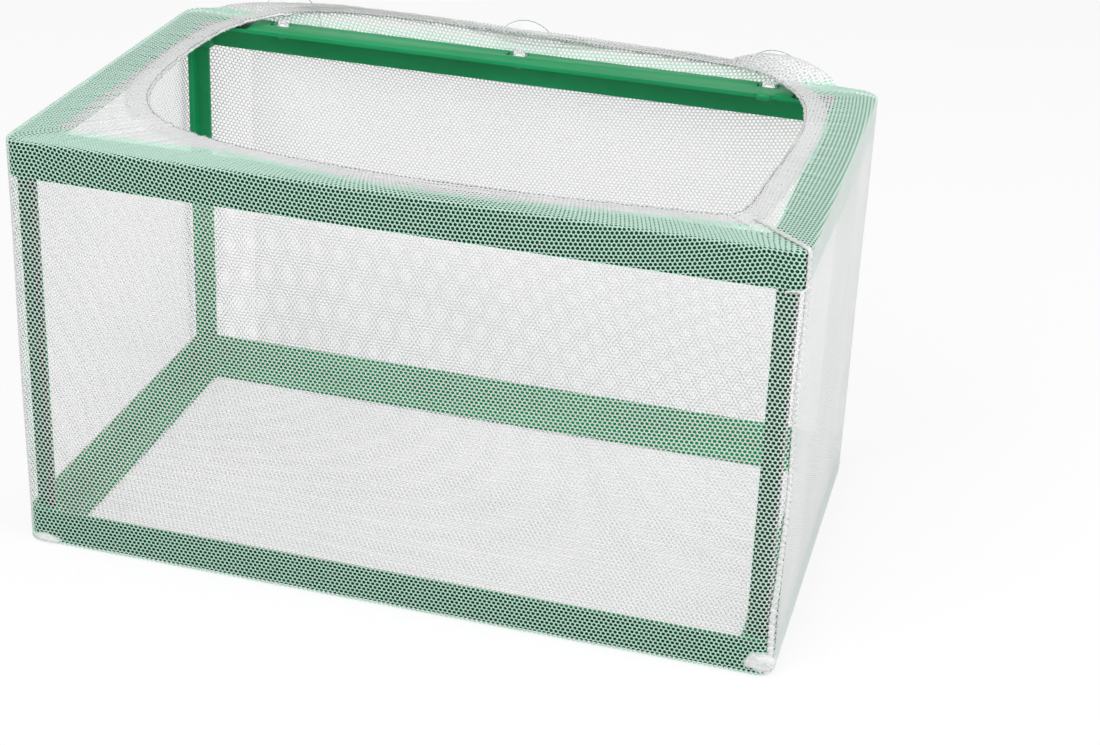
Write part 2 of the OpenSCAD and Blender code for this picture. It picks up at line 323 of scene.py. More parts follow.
easedMoulding("top_ring", "topRing")
easedMoulding("bottom_ring", "bottomRing")
for corner in ("front_left", "front_right", "rear_left", "rear_right"):
    first, second = corner.split("_")
    easedMoulding("post_" + corner, "post" + first.title() + second.title())
print("frame dressed")

# The bag. One lattice of holes runs round the walls and on over the rails to the mouth, so its
# pieces meet hole to hole. u runs round the box from the front right corner, by the right side,
# v runs up the wall and then on over the rail, and h is the height out of the cloth.

bag = {
    "radius": 5.5,  # of the cloth's middle round a corner
    "base": 0.3,
    "capping": 0.4,  # from the top of a wall panel up to the cloth's middle over the rail
    "pitch": 1.6,
    "row": 1.33,
    "hole": 0.65,
    "farHole": 0.53,  # of the rear, base and collar
    "hemHole": 0.43,
    "hub": 0.42,
    "openShare": 0.925,  # of the holes' area that flat areas leave out
    "slack": 0.25,  # how far the cloth waves out of its plane
    "drift": 1.1,  # how far the rows wander along the cloth
    "calmBelow": 60,  # the rows wander less under this height
    "sag": 15.0,  # how far the top rows hang down between the corners of a long side
    "shortSag": 5.0,
    "sagPower": 1.7,  # how fast that grows up the wall
    "gather": 8.0,  # how far the columns lean in to the middle of a long side
    "leanPower": 3,
    "turnIn": 20.0,  # how far the end pieces reach round on to the long sides
}
halfL = (collarHigh[0] - collarLow[0] - netThick) / 2
halfW = (collarHigh[1] - collarLow[1] - netThick) / 2
turnR = bag["radius"]
turnArc = math.pi / 2 * turnR
sideRun, longRun = 2 * (halfW - turnR), 2 * (halfL - turnR)
runs = [sideRun, turnArc, longRun, turnArc] * 2
starts = np.concatenate([[0], np.cumsum(runs)])
girth = float(starts[-1])
pitch = girth / round(girth / bag["pitch"])
rimZ = wallHigh[2] + bag["capping"]


def rimPoint(u):
    # x, y and the outward direction at each u round the box
    which, into = sideOf(u)
    side = which // 2  # 0 right, 1 rear, 2 left, 3 front, each with the corner after it
    turned = side * math.pi / 2
    onTurn = which % 2 == 1
    half = np.where(side % 2 == 0, halfW - turnR, halfL - turnR)
    reach = np.where(side % 2 == 0, halfL, halfW)
    angle = np.where(onTurn, into / turnR, 0.0)
    # in the side's own axes: n outwards, t along
    n = np.where(onTurn, reach - turnR + turnR * np.cos(angle), reach)
    t = np.where(onTurn, half + turnR * np.sin(angle), into - half)
    c, s = np.cos(turned), np.sin(turned)
    return n * c - t * s, n * s + t * c, np.cos(turned + angle), np.sin(turned + angle)


def sideOf(u):
    u = np.mod(u, girth)
    which = np.clip(np.searchsorted(starts, u, side="right") - 1, 0, 7)
    return which, u - starts[which]


def smooth(t):
    t = np.clip(t, 0, 1)
    return t * t * (3 - 2 * t)


def warped(u, v):
    # the corners pull the rows up and the columns in, more towards the top, and both wander a little
    which, into = sideOf(u)
    length = np.array(runs)[which]
    t = np.where(which % 2 == 1, 1.0, 2 * into / length - 1)
    longSide = which // 2 % 2 == 1
    growth = np.clip(v / rimZ, 0, 1)
    sag = np.where(longSide, bag["sag"], bag["shortSag"]) * (1 - t * t) * growth ** bag["sagPower"]
    lean = bag["gather"] * np.where(longSide, -t, t) * growth ** bag["leanPower"]
    x, y = rimPoint(u)[:2]
    free = smooth(v / bag["calmBelow"]) * bag["drift"]
    dv = free * (np.sin(x / 42 + y / 65 + 1.1) * 0.7 + np.sin(x / 23 - v / 50 + y / 31) * 0.3)
    du = free * 0.45 * np.sin(v / 37 + x / 55 - y / 40 + 0.6)
    return u + lean + du, v - sag + dv


# The mouth's free edge, as corners of a line that is rounded off, each with its height over the rim

mouth = {
    "edge": [(109.5, -20, 1.5), (112, 5, 1.6), (112.6, 30, 2.0), (108.5, 52, 2.4), (98, 68, 3.0),
             (80, 73.4, 4.3), (40, 73.4, 4.9), (-10, 73.4, 6.2), (-60, 73.4, 7.0), (-88, 73.2, 4.6),
             (-102, 68, 1.8), (-109, 52, 1.4), (-110, 20, 1.5), (-108.5, -5, 1.5), (-103, -27, 1.4),
             (-88, -45, 1.4), (-62, -55, 1.4), (-30, -59.5, 1.4), (5, -61.5, 1.4), (50, -60.5, 1.4),
             (88, -57.5, 1.4), (105.5, -56.5, 1.5), (108.5, -44, 1.5)],
    # where the middles and corners of the rim go to, from the middle of the right side round by the rear
    "marks": [(111, 0), (104, 59), (0, 73.4), (-99, 68), (-109, 0), (-92, -41), (0, -61.5), (106, -54)],
    # at the rear the cloth stands up behind the mouth: x and its height over the rim
    "standing": [(-119, 0.2), (-111, 2.7), (-105, 4.6), (-99, 6.0), (-87, 7.6), (-71, 9.0), (-39, 9.0),
                 (15, 8.3), (45, 7.5), (67, 7.2), (79, 6.4), (92, 5.0), (105, 1.5), (112, 0.3)],
    "domeX": 93.5, "domeRadius": 19.2, "domeHeight": 9.9,  # the net domes up over the right cup
    "hem": 8.0,
    "leafGap": 0.9,
    "gather": 0.28,
    "gatherWaves": (5.3, 7.9, 12.7),
    "standsFrom": 1.2,  # the cloth lies flat up to this rise, and stands fully this much above it
    "standsOver": 4,
    "topShare": 0.4,  # of the way in from the rim, where the rise is read
    "brinkShare": 0.55,  # of the rise over the free edge, for the point before that edge
}

# Ten points of a section from the rim to the mouth: the share of the way in and of the height, lying
# flat and standing up, and how far the dome bulges out past the cup's back
railSection = {
    "flatIn": [0, 0.004, 0.02, 0.05, 0.12, 0.3, 0.5, 0.7, 0.85, 1.0],
    "flatUp": [0, 0, 0.25, 0.36, 0.42, 0.5, 0.62, 0.78, 0.9, 1.0],
    "standingIn": [0, -0.02, -0.05, -0.06, 0.0, 0.15, 0.4, 0.65, 0.85, 1.0],
    "standingUp": [0, 0.10, 0.32, 0.55, 0.78, 0.93, 1.0, 0.97, 0.88, 0.0],
    "clearOfCup": [0, 0.5, 1.3, 2.5, 3.6, 3.4, 2.2, 0.8, 0, 0],
}
sections = 720  # of the table of the cloth over the rails, with its step and depth along the cloth
tableStep = 0.25
tableDepth = 56


def roundOff(path, times, closed=False):
    # cuts the corners of a line a few times
    for _ in range(times):
        if closed:
            path = np.vstack([path, path[:1]])
        a, b = path[:-1], path[1:]
        cut = np.empty((2 * len(a), path.shape[1]))
        cut[0::2] = a * 0.75 + b * 0.25
        cut[1::2] = a * 0.25 + b * 0.75
        path = cut if closed else np.vstack([path[:1], cut, path[-1:]])
    return path


def runAlong(path):
    return np.concatenate([[0], np.cumsum(np.linalg.norm(np.diff(path, axis=0), axis=1))])


def mouthAt(us):
    # the point of the free edge that each rim point leads to
    edge = roundOff(np.array(mouth["edge"], dtype=float), 4, closed=True)
    first = np.argmin(np.hypot(*(edge[:, :2] - mouth["marks"][0]).T))
    edge = np.roll(edge, -first, axis=0)
    edge = np.vstack([edge, edge[:1]])
    along = runAlong(edge)
    stops = [along[np.argmin(np.hypot(*(edge[:-1, :2] - mark).T))] for mark in mouth["marks"]]
    # the same places on the rim: the middle of each side, and the middle of each corner between them
    toCorner = (sideRun + turnArc) / 2
    rim = [0, toCorner, girth / 4, girth / 2 - toCorner, girth / 2, girth / 2 + toCorner,
           girth * 3 / 4, girth - toCorner, girth]
    t = np.interp(us - us[0], rim, stops + [along[-1]])
    return [np.interp(t, along, edge[:, k]) for k in range(3)]


def buildMouthTable():
    # the cloth from the rim to the mouth and back under the hem: a point for each u and each w over the rim
    us = np.linspace(0, girth, sections + 1) + sideRun / 2  # from the middle of the right side
    rx, ry, nx, ny = rimPoint(us)
    mx, my, edgeUp = mouthAt(us)
    topX = rx + mouth["topShare"] * (mx - rx)
    rise = np.interp(topX, *zip(*mouth["standing"]))
    away = np.clip(np.abs(topX - mouth["domeX"]), 0, mouth["domeRadius"])
    dome = mouth["domeHeight"] - mouth["domeRadius"] + np.sqrt(mouth["domeRadius"] ** 2 - away ** 2)
    dome = np.where(ry > 0, np.clip(dome, 0, None), 0)
    rise = np.where(ry > 0, np.maximum(rise, dome), 0)
    stand = smooth((rise - mouth["standsFrom"]) / mouth["standsOver"])
    shares = {name: np.array(values) for name, values in railSection.items()}
    table = np.zeros((sections + 1, int(tableDepth / tableStep) + 1, 3))
    lengths = np.zeros(sections + 1)
    ws = np.arange(table.shape[1]) * tableStep
    for i in range(sections + 1):
        k = stand[i]
        f = shares["flatIn"] * (1 - k) + shares["standingIn"] * k
        standing = shares["standingUp"] * rise[i]
        standing[-1] = edgeUp[i]
        standing[-2] = edgeUp[i] + (rise[i] - edgeUp[i]) * mouth["brinkShare"]
        z = rimZ + shares["flatUp"] * edgeUp[i] * (1 - k) + standing * k
        z[0] = rimZ - netThick
        bulge = dome[i] / mouth["domeHeight"] * k * shares["clearOfCup"]
        path = np.column_stack([rx[i] + (mx[i] - rx[i]) * f + nx[i] * bulge,
                                ry[i] + (my[i] - ry[i]) * f + ny[i] * bulge, z])
        path = roundOff(path, 3)
        run = runAlong(path)
        total = run[-1]
        lengths[i] = total
        up = np.column_stack([np.interp(np.minimum(ws, total), run, path[:, c]) for c in range(3)])
        backW = np.clip(2 * total - ws, 0, total)
        under = np.column_stack([np.interp(backW, run, path[:, c]) for c in range(3)])
        slope = np.gradient(path, axis=0)
        inward = np.array([-nx[i], -ny[i], 0])
        side = np.column_stack([-slope[:, 2] * inward[0], -slope[:, 2] * inward[1], slope @ inward])
        side /= np.linalg.norm(side, axis=1)[:, None] + 1e-9
        sideBack = np.column_stack([np.interp(backW, run, side[:, c]) for c in range(3)])
        past = ws - total
        gap = mouth["leafGap"] * (smooth(past / 0.8) - 0.5 * smooth((past - 3) / 5))
        table[i] = np.where((ws <= total)[:, None], up, under - sideBack * gap[:, None])
    return us, table, lengths


tableU, mouthTable, foldAt = buildMouthTable()
print("mouth shaped, cloth over the rail from", round(foldAt.min(), 1), "to", round(foldAt.max(), 1), "mm")


def tableIndex(u):
    return np.mod(u - tableU[0], girth) / girth * sections


def foldOf(u):
    return np.interp(tableIndex(u), np.arange(sections + 1), foldAt)


def overRail(u, w):
    i, j = tableIndex(u), np.clip(w / tableStep, 0, mouthTable.shape[1] - 1.001)
    i0, j0 = np.floor(i).astype(int), np.floor(j).astype(int)
    i1 = np.minimum(i0 + 1, sections)
    a, b = (i - i0)[:, None], (j - j0)[:, None]
    return ((mouthTable[i0, j0] * (1 - a) + mouthTable[i1, j0] * a) * (1 - b)
            + (mouthTable[i0, j0 + 1] * (1 - a) + mouthTable[i1, j0 + 1] * a) * b)


def clothPoint(u, v):
    # where the cloth lies, without the waves
    x, y = rimPoint(u)[:2]
    wallTop = rimZ - netThick
    wall = np.column_stack([x, y, np.minimum(v, wallTop)])
    over = overRail(u, np.maximum(v - wallTop, 0))
    return np.where((v > wallTop)[:, None], over, wall)


def waves(u, v, fold):
    # height of the cloth's waves: slack on the walls, gathers towards the mouth
    x, y = rimPoint(u)[:2]
    mid = np.sin(np.clip(v / rimZ, 0, 1) * math.pi)
    slack = bag["slack"] * mid * (np.sin(x / 19 + v / 27) + np.sin(y / 16 - v / 21 + x / 40)) / 2
    w = np.clip((v - rimZ) / np.maximum(fold, 1), 0, 1.0)
    corner = np.exp(-(np.minimum(np.abs(np.abs(x) - 120), 60) / 26) ** 2) * 0.7 + 0.5
    a, b, c = mouth["gatherWaves"]
    ruffle = np.sin(u * 2 * math.pi / a + 1.3 * np.sin(u / 17)) * 0.45 \
        + np.sin(u * 2 * math.pi / b + 2 * np.sin(u / 29)) * 0.35 + np.sin(u * 2 * math.pi / c) * 0.4
    return slack + mouth["gather"] * ruffle * smooth(w * 1.2) * corner


def bagPoint(u, v, h):
    # u, v and h to a point of the bag, with its waves and the height of its threads
    fold = foldOf(u)
    step = 0.05
    here = clothPoint(u, v)
    alongU = clothPoint(u + step, v) - clothPoint(u - step, v)
    alongV = clothPoint(u, v + step) - clothPoint(u, v - step)
    facing = np.cross(alongU, alongV)
    facing /= np.linalg.norm(facing, axis=1)[:, None] + 1e-9
    # under the hem the cloth faces the other way, and its waves follow the upper leaf's
    over = np.where(v - rimZ > fold, -1.0, 1.0)
    return here + facing * (h + waves(u, np.minimum(v, 2 * fold + 2 * rimZ - v), fold) * over)[:, None]


def coords(bm):
    return np.array([vert.co[:] for vert in bm.verts])


def setCoords(bm, places):
    for vert, at in zip(bm.verts, places.tolist()):
        vert.co = at


def shear(bm, edge, way):
    # slides each column of the patch along v by the curve
    at = coords(bm)
    at[:, 1] += edge(at[:, 0]) * way
    setCoords(bm, at)


def trimmed(bm, u0, u1, v0, v1):
    for at, facing in (((u0, 0, 0), (-1, 0, 0)), ((u1, 0, 0), (1, 0, 0)),
                       ((0, v0, 0), (0, -1, 0)), ((0, v1, 0), (0, 1, 0))):
        bmesh.ops.bisect_plane(bm, geom=bm.verts[:] + bm.edges[:] + bm.faces[:], dist=1e-4,
                               plane_co=at, plane_no=facing, clear_outer=True)


def netPatch(u0, u1, v0, v1, hole, edge=None, warp=warped):
    # a flat piece of the lattice in millimetres, cut to size, with its holes open;
    # with edge, the cuts v0 and v1 follow that curve of u
    row = bag["row"]
    lift = edge(np.linspace(u0, u1, 100)) if edge else np.zeros(1)
    reach = bag["sag"] + 2 * row
    c0, c1 = math.floor((u0 - bag["gather"]) / pitch) - 2, math.ceil((u1 + bag["gather"]) / pitch) + 2
    r0 = math.floor((v0 + lift.min()) / row) - 3
    r1 = math.ceil((v1 + lift.max() + reach) / row) + 2
    bm = bmesh.new()
    bmesh.ops.create_grid(bm, x_segments=c1 - c0, y_segments=r1 - r0, size=0.5)
    flat = coords(bm)
    rows = np.round((flat[:, 1] + 0.5) * (r1 - r0)) + r0
    flat[:, 0] = ((flat[:, 0] + 0.5) * (c1 - c0) + c0 + 0.5 * (rows % 2)) * pitch
    flat[:, 1] = rows * row
    setCoords(bm, flat)
    middles = np.array([face.calc_center_median()[:2] for face in bm.faces])
    mu, mv = warp(middles[:, 0], middles[:, 1])
    over = mv - (edge(mu) if edge else 0)
    spare = 4  # kept past each cut
    wanted = (over > v0 - spare) & (over < v1 + spare) & (mu > u0 - spare) & (mu < u1 + spare)
    bmesh.ops.delete(bm, geom=[f for f, keep in zip(bm.faces, wanted) if not keep], context="FACES")
    bmesh.ops.triangulate(bm, faces=bm.faces, quad_method="SHORT_EDGE")
    inner = [vert for vert in bm.verts if not vert.is_boundary]
    opened = bmesh.ops.bevel(bm, geom=inner, affect="VERTICES", offset=hole, offset_type="OFFSET",
                             segments=1, profile=0.5, material=-1, clamp_overlap=False)
    bmesh.ops.delete(bm, geom=opened["faces"], context="FACES")
    flat = coords(bm)
    flat[:, 0], flat[:, 1] = warp(flat[:, 0], flat[:, 1])
    setCoords(bm, flat)
    if edge:
        shear(bm, edge, -1)
    trimmed(bm, u0, u1, v0, v1)
    if edge:
        shear(bm, edge, 1)
    return bm


def knotted(bm):
    bmesh.ops.poke(bm, faces=bm.faces, offset=bag["hub"], center_mode="MEAN_WEIGHTED")
    return bm


# Painted light: where green plastic lies close behind the cloth, a green tint painted into the threads
# stands in for its light coming through them

tint = {"flange": 13.0, "edge": 0.8, "post": 0.6, "collar": 0.85, "lifted": 2.6, "endWall": 0.2}


def band(value, low, high):
    return smooth((value - low) / tint["edge"] + 0.5) * smooth((high - value) / tint["edge"] + 0.5)


def paintedGreenLight(at):
    x, y, z = np.abs(at[:, 0]), np.abs(at[:, 1]), at[:, 2]
    far = 1e3
    ringX, ringY = ringHigh[0], ringHigh[1]
    frameTop = rimZ - netThick / 2 - 0.2
    over = np.maximum(band(x, ringX - tint["flange"], far), band(y, ringY - tint["flange"], far))
    low = band(z, -far, ringHigh[2])
    high = band(z, frameTop - railHigh, far) * band(z, -far, rimZ + tint["lifted"])
    onTop = band(z, rimZ, far)
    rails = np.maximum(low, high * (1 - onTop * (1 - tint["collar"]))) * over
    sideways = np.where(y > ringY, band(x, postLow[0], postHigh[0]), 0)
    endways = np.where(x > ringX, band(y, -postHigh[1], -postLow[1]), 0)
    # weaker on the end walls, whose net is mostly seen along its face
    thinned = 1 - (1 - tint["endWall"]) * smooth((x - halfL + turnR / 2) * 2 / turnR) * band(z, -far, rimZ)
    return np.maximum(rails, np.maximum(sideways, endways) * tint["post"]) * thinned


def laid(bm, name, place, tinted=1.0):
    # turns the flat patch into a mesh and moves each point to its place
    mesh = toMesh(bm, name)
    flat = np.empty(len(mesh.vertices) * 3)
    mesh.vertices.foreach_get("co", flat)
    flat = flat.reshape(-1, 3)
    at = place(flat[:, 0], flat[:, 1], flat[:, 2])
    mesh.vertices.foreach_set("co", (at * mm).ravel())
    near = mesh.attributes.new("paintedGreenLight", "FLOAT", "POINT")
    near.data.foreach_set("value", paintedGreenLight(at) * tinted)
    mesh.shade_smooth()
    mesh.update()
    print(name, len(mesh.polygons), "faces")
    return mesh


# The cups' necks pass through the rear net

neckHole = {"radius": 2.7}
cupJoints = {joint["child"]: np.array(joint["pos_m"]) / mm for joint in frame["joints"]}


def openedForNecks(bm):
    rearMiddle = starts[2] + longRun / 2
    for x, y, z in cupJoints.values():
        centre = Vector((rearMiddle - x, z, 0))
        cut = [f for f in bm.faces if (f.calc_center_median() - centre).length < neckHole["radius"]]
        bmesh.ops.delete(bm, geom=cut, context="FACES")
    return bm


endReach = turnArc + bag["turnIn"]
walls = {
    "netRight": (-endReach, sideRun + endReach,
                 ["net_right", "net_corner_front_right", "net_corner_rear_right"]),
    "netRear": (sideRun + endReach, starts[4] - endReach, ["net_rear"]),
    "netLeft": (starts[4] - endReach, starts[5] + endReach,
                ["net_left", "net_corner_rear_left", "net_corner_front_left"]),
    "netFront": (starts[5] + endReach, girth - endReach, ["net_front"]),
}
for name, (u0, u1, replaced) in walls.items():
    hole = bag["farHole"] if name == "netRear" else bag["hole"]
    bm = netPatch(u0, u1, bag["base"], rimZ, hole)
    if name == "netRear":
        openedForNecks(bm)
    piece = addPiece(name, laid(knotted(bm), name, bagPoint), netThread, "box", replaced)

# The base, pulled in to round corners

base = {"pitchUp": 1.06, "sway": 0.15, "calmEdge": 12, "flatten": 0.8}


def baseWarp(x, y):
    return x * base["pitchUp"], y * base["pitchUp"]


def basePoint(x, y, h):
    cx, cy = np.abs(x) - (halfL - turnR), np.abs(y) - (halfW - turnR)
    atCorner = (cx > 0) & (cy > 0)
    k = np.where(atCorner, np.maximum(np.maximum(cx, cy), 1e-6) / np.maximum(np.hypot(cx, cy), 1e-6), 1.0)
    px = np.where(atCorner, np.sign(x) * (halfL - turnR + cx * k), x)
    py = np.where(atCorner, np.sign(y) * (halfW - turnR + cy * k), y)
    inside = np.minimum(halfL - np.abs(x), halfW - np.abs(y)) / base["calmEdge"]
    sway = smooth(inside) * base["sway"] * (np.sin(x / 17 + y / 23) + np.sin(y / 14 - x / 31) + 0.6)
    return np.column_stack([px, py, bag["base"] - h * base["flatten"] + np.maximum(sway, -0.1)])


bm = netPatch(-halfL, halfL, -halfW, halfW, bag["farHole"], warp=baseWarp)
netBottom = addPiece("netBottom", laid(knotted(bm), "netBottom", basePoint), netThread, "box",
                     ["net_bottom"])

# The collar over the rails, and the hem turned back under it


def hemFold(u):
    return foldOf(u) + rimZ


hem = mouth["hem"]
wrap = (-turnArc, girth - turnArc)
collarReach = 70  # more than the cloth's run from the rim to its fold is anywhere
bm = netPatch(*wrap, -collarReach, -hem, bag["farHole"], edge=hemFold)
trimmed(bm, *wrap, rimZ, 3 * rimZ)
collar = addPiece("collar", laid(knotted(bm), "collar", bagPoint), netThread, "box", ["net_collar"])

bm = netPatch(*wrap, -hem, hem, bag["hemHole"], edge=hemFold)
hemPiece = addPiece("hem", laid(knotted(bm), "hem", bagPoint, 0.0), netThread, "box", ["mouth_hem"])


def tubeAlong(name, points, diameter, sides=8, closed=False):
    # a round cord through the points
    curve = bpy.data.curves.new(name, "CURVE")
    curve.dimensions = "3D"
    curve.bevel_depth = diameter / 2 * mm
    curve.bevel_resolution = sides // 4
    curve.use_fill_caps = not closed
    line = curve.splines.new("POLY")
    line.points.add(len(points) - 1)
    for point, at in zip(line.points, points):
        point.co = (*(np.array(at) * mm), 1)
    line.use_cyclic_u = closed
    holder = bpy.data.objects.new(name, curve)
    bpy.context.scene.collection.objects.link(holder)
    mesh = bpy.data.meshes.new_from_object(holder.evaluated_get(bpy.context.evaluated_depsgraph_get()))
    bpy.data.objects.remove(holder)
    bpy.data.curves.remove(curve)
    mesh.shade_smooth()
    return mesh


def joinMeshes(name, meshes):
    bm = bmesh.new()
    for mesh in meshes:
        bm.from_mesh(mesh)
        bpy.data.meshes.remove(mesh)
    joined = toMesh(bm, name)
    joined.shade_smooth()
    return joined


# The elastic in the hem's fold, and the stitches that hold it there, made dark grey as painted shade of the
# elastic inside the fold

elastic = {"thick": 0.9, "fromFold": 0.9, "steps": 480}
hemStitch = {"every": 1.55, "long": 0.75, "thick": 0.34, "fromFold": 1.5, "proud": 0.16, "samples": 4000}


def elasticLine():
    us = np.linspace(0, girth, elastic["steps"], endpoint=False)
    fold, none = foldOf(us), np.zeros(elastic["steps"])
    upper = bagPoint(us, rimZ + fold - elastic["fromFold"], none)
    lower = bagPoint(us, rimZ + fold + elastic["fromFold"], none)
    return (upper + lower) / 2


def hemStitches():
    # evenly spaced along the mouth, on the leaf that shows
    us = np.linspace(0, girth, hemStitch["samples"])
    along = runAlong(bagPoint(us, rimZ + foldOf(us) - hemStitch["fromFold"], np.zeros(len(us))))
    count = int(along[-1] / hemStitch["every"])
    made = []
    for i in range(count):
        at = along[-1] * i / count
        u = np.interp([at, at + hemStitch["long"] / 2, at + hemStitch["long"]], along, us)
        h = np.array([0, hemStitch["proud"], 0]) + 0.1
        points = bagPoint(u, rimZ + foldOf(u) - hemStitch["fromFold"], h)
        made.append(tubeAlong("stitch", points, hemStitch["thick"], 4))
    return joinMeshes("hemStitches", made)


mesh = tubeAlong("elastic", elasticLine(), elastic["thick"], closed=True)
addPiece("elastic", mesh, whiteElastic, "box", ["mouth_elastic"])
addPiece("hemStitches", hemStitches(), darkStitchingAsShade, "box")
print("hem sewn")

# The seam down the front right corner and over the rail, doubled and overlocked

seam = {
    "top": -3.0,
    "foot": -4.7,
    "wide": 1.3,
    "footWide": 2.2,
    "proud": 0.6,
    "steps": 620,
    "stitch": 2.1,
    "stitchWide": 0.3,
    "stitchFrom": 4.0,
    "dash": 1.3,
    "dashWide": 0.42,
    "dashFrom": 9.0,
    "dashTop": 75.0,
    "tailWide": 0.6,
    "tail": [(-3.2, 138.5, 0.9), (-5.2, 137.6, 1.4), (-7.4, 137.9, 1.0), (-9.6, 137.2, 0.8)],
}


def seamCentre(v):
    low = smooth((60 - v) / 60)
    line = seam["top"] + (seam["foot"] - seam["top"]) * low
    return line + 0.25 * np.sin(v / 9) + 0.5 * low * np.sin(v / 5)


def seamWidth(v):
    return seam["wide"] + (seam["footWide"] - seam["wide"]) * smooth((75 - v) / 75)


seamTop = float(rimZ + foldOf(np.array([seam["top"]]))[0] - hem)


def seamRibbon():
    bm = bmesh.new()
    bmesh.ops.create_grid(bm, x_segments=8, y_segments=seam["steps"], size=0.5)
    flat = coords(bm)
    across, v = flat[:, 0] * 2, (flat[:, 1] + 0.5) * (seamTop - 1) + 1
    edge = 1 + 0.22 * np.sin(v * 2.1 + across * 2) + 0.15 * np.sin(v * 5.3)
    ruck = 1 + 0.35 * np.sin(v * 3.1 + across) + 0.25 * np.sin(v * 7.7 - across * 2)
    flat[:, 0] = seamCentre(v) + across * seamWidth(v) / 2 * edge
    flat[:, 1] = v
    flat[:, 2] = 0.35 + seam["proud"] * (1 - across ** 2) * ruck
    setCoords(bm, flat)
    return laid(bm, "sideSeam", bagPoint)


def overlock():
    made = []
    v = seam["stitchFrom"]
    while v < seamTop - 2:
        across = np.array([-1, -0.5, 0, 0.5, 1.0])
        at = np.full(5, v) + np.array([0, 0.25, 0.5, 0.75, 1.0])
        u = seamCentre(at) + across * seamWidth(at) * 0.6
        h = 0.45 + (seam["proud"] + 0.3) * (1 - across ** 2 * 0.8)
        made.append(tubeAlong("stitch", bagPoint(u, at, h), seam["stitchWide"], 4))
        v += seam["stitch"]
    tail = roundOff(np.array(seam["tail"]), 2)
    made.append(tubeAlong("tail", bagPoint(tail[:, 0], tail[:, 1], tail[:, 2]), seam["tailWide"]))
    return joinMeshes("seamStitches", made)


def seamDashes():
    # the row of darker stitches beside the foot of the seam, their dark grey standing in as painted shade
    # of the seam's gaps
    made = []
    v = seam["dashFrom"]
    while v < seam["dashTop"]:
        at = np.array([v, v + seam["dash"] / 2, v + seam["dash"]])
        u = seamCentre(at) + seamWidth(at) * 0.62 + 0.35
        points = bagPoint(u, at, np.array([0.3, 0.55, 0.3]))
        made.append(tubeAlong("stitch", points, seam["dashWide"], 4))
        v += seam["dash"] * (1.6 + 0.5 * math.sin(v))
    return joinMeshes("seamDashes", made)


sideSeam = addPiece("sideSeam", seamRibbon(), seamThread, "box", ["side_seam"])
thick = sideSeam.modifiers.new("thickness", "SOLIDIFY")
thick.thickness = 0.35 * mm
thick.offset = 0
addPiece("seamStitches", overlock(), seamThread, "box")
addPiece("seamDashes", seamDashes(), darkStitchingAsShade, "box")
print("seam sewn")

# Gathered tucks at the corners of the base: x, y, z, half widths along X, Y and Z, and a seed

tucks = {
    "frontRight": (127.8, -73.4, 5.2, 5.2, 3.2, 3.9, 11),
    "frontLeft": (-124.5, -72.8, 1.7, 5.6, 3.0, 2.1, 5),
    "rearLeft": (-128.2, 71.8, 2.0, 3.6, 3.2, 2.2, 23),
    "rearRight": (128.2, 71.8, 2.0, 3.6, 3.2, 2.2, 31),
}


def tuck(name, x, y, z, wide, deep, high, seed):
    bm = bmesh.new()
    bmesh.ops.create_icosphere(bm, subdivisions=5, radius=1)
    shift = Vector((seed, seed * 1.7, -seed))
    for vert in bm.verts:
        d = vert.co.copy()
        fold = noise.noise(d * 1.4 + shift) * 0.22 + abs(noise.noise(d * 3.4 + shift)) * 0.20 \
            + noise.noise(d * 8 + shift) * 0.05
        d *= 0.92 + fold
        vert.co = Vector((x + d.x * wide, y + d.y * deep, max(z + d.z * high, 0.25))) * mm
    return toMesh(bm, name)


mesh = joinMeshes("cornerTucks", [tuck(name, *sizes) for name, sizes in tucks.items()])
addPiece("cornerTucks", mesh, seamThread, "box", ["corner_tucks"])
print("tucks gathered")

# The suction cups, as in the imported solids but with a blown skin

cup = {"rim": 12.0, "depth": 6.5, "skin": 1.2, "neck": 1.8, "head": 3.8, "headThick": 3.0,
       "backGap": 0.5, "headGap": 0.2, "railWall": 1.6, "steps": 72}
wallInside = ringHigh[1] - cup["railWall"]
cupBack = collarHigh[1] + cup["backGap"]
headBack = wallInside - cup["headGap"]


def cupMesh(name, x, height):
    rim, back, depth = cup["rim"], cupBack, cup["depth"]
    ball = (rim ** 2 + depth ** 2) / (2 * depth)
    outer = [(rim * t, back + ball - math.sqrt(ball ** 2 - (rim * t) ** 2))
             for t in (1, 0.97, 0.9, 0.8, 0.7, 0.6, 0.5, 0.4, 0.3)]
    inner = [(r * 0.965, min(y + cup["skin"] * (1.35 - r / rim), back + depth)) for r, y in outer]
    neck, head, front = cup["neck"], cup["head"], headBack - cup["headThick"]
    profile = [(0, back + cup["skin"] * 2.0)] + inner[::-1] + outer + [
        (neck * 1.35, back + 0.25), (neck, back - 0.3), (neck, headBack + 0.3), (neck * 1.2, headBack),
        (head * 0.85, headBack), (head, headBack - 0.4), (head * 0.97, headBack - 1.0),
        (head * 0.8, front + 0.9), (head * 0.5, front + 0.3), (head * 0.2, front), (0, front)]
    bm = bmesh.new()
    verts = [bm.verts.new((r * mm, y * mm, 0)) for r, y in profile]
    edges = [bm.edges.new(pair) for pair in zip(verts[:-1], verts[1:])]
    bmesh.ops.spin(bm, geom=verts + edges, cent=(0, 0, 0), axis=(0, 1, 0), dvec=(0, 0, 0),
                   angle=2 * math.pi, steps=cup["steps"], use_merge=True)
    bmesh.ops.remove_doubles(bm, verts=bm.verts, dist=1e-7)
    bmesh.ops.recalc_face_normals(bm, faces=bm.faces)
    bmesh.ops.translate(bm, verts=bm.verts, vec=(x * mm, 0, height * mm))
    mesh = toMesh(bm, name)
    mesh.shade_smooth()
    return mesh


for node, (x, y, height) in cupJoints.items():
    name = "cup" + node.split("_")[-1].title()
    addPiece(name, cupMesh(name, x, height), clearVinyl, node, [node])
print("cups moulded")

# The stage

